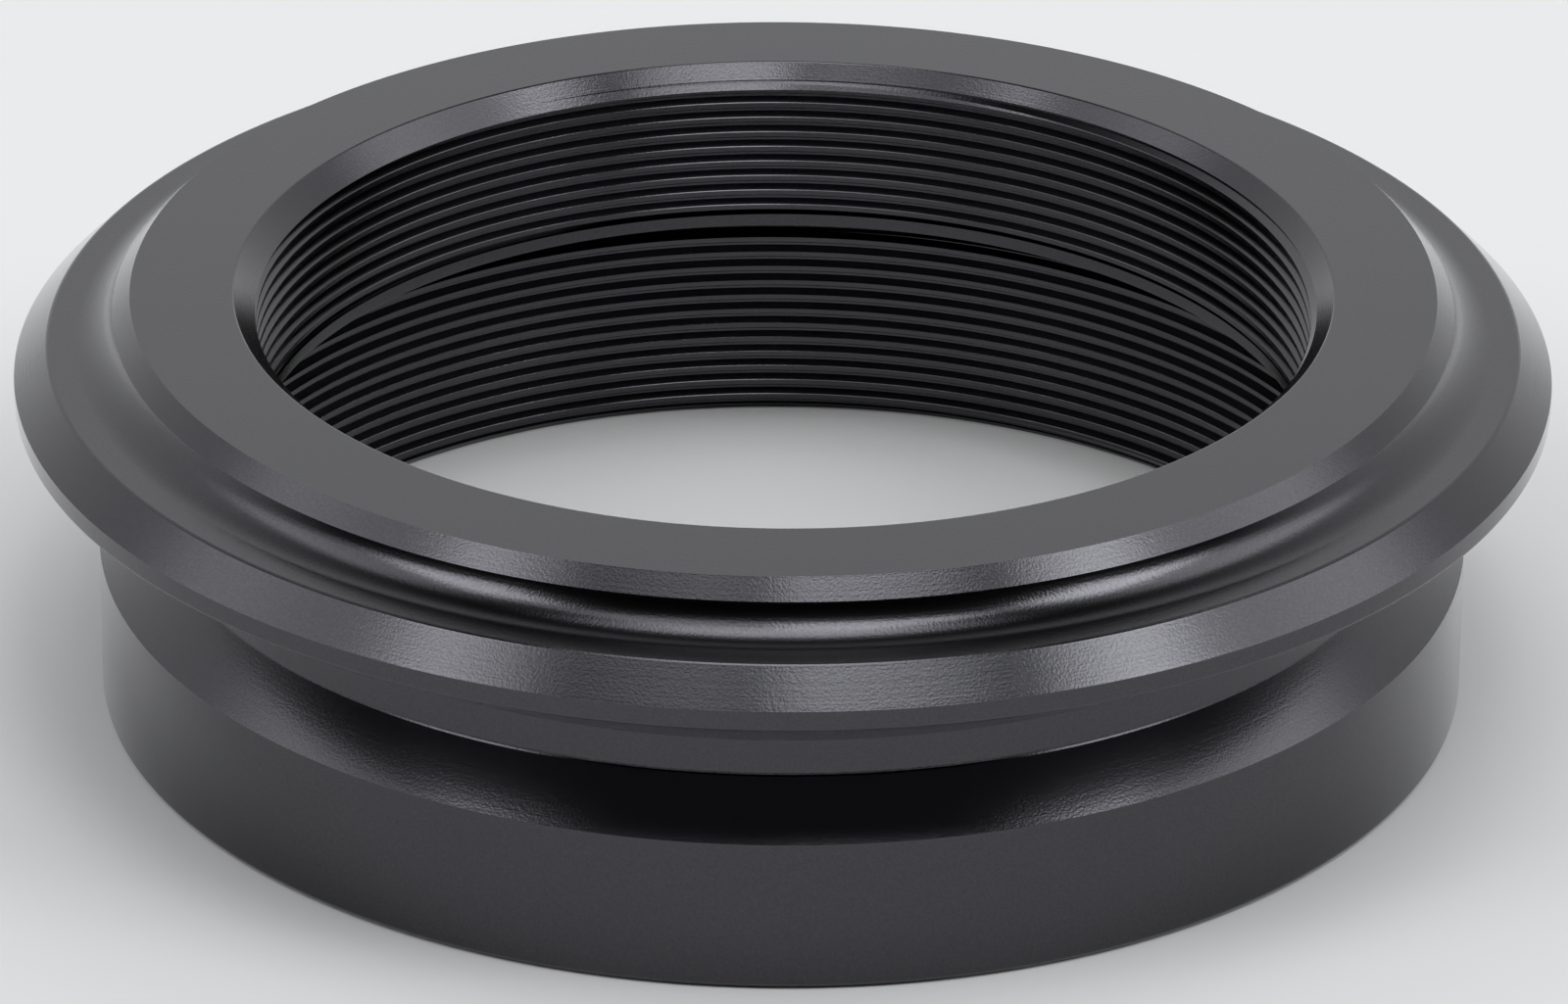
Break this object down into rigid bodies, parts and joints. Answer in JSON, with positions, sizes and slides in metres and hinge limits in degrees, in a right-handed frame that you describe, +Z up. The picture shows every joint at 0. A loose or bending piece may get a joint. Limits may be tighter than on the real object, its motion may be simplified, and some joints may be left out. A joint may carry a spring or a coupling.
{
  "type": "focuser adapter",
  "caption": "Black turned adapter ring for a telescope focuser, with an internally threaded stepped bore, a flanged top with a clamping lip, a grooved neck and a plain spigot below.",
  "frame": {"origin": "centre of the bottom face, on the axis of the bore", "axes": "+Z up along the bore, towards the clamping lip; the ring is round, so X and Y are any two directions across it"},
  "size_m": [0.069, 0.069, 0.0191],
  "materials": {
    "black_anodised": "satin black anodised, fine turned grain"
  },
  "bodies": {
    "root": {"adapter_ring": "black_anodised"}
  },
  "joints": []
}
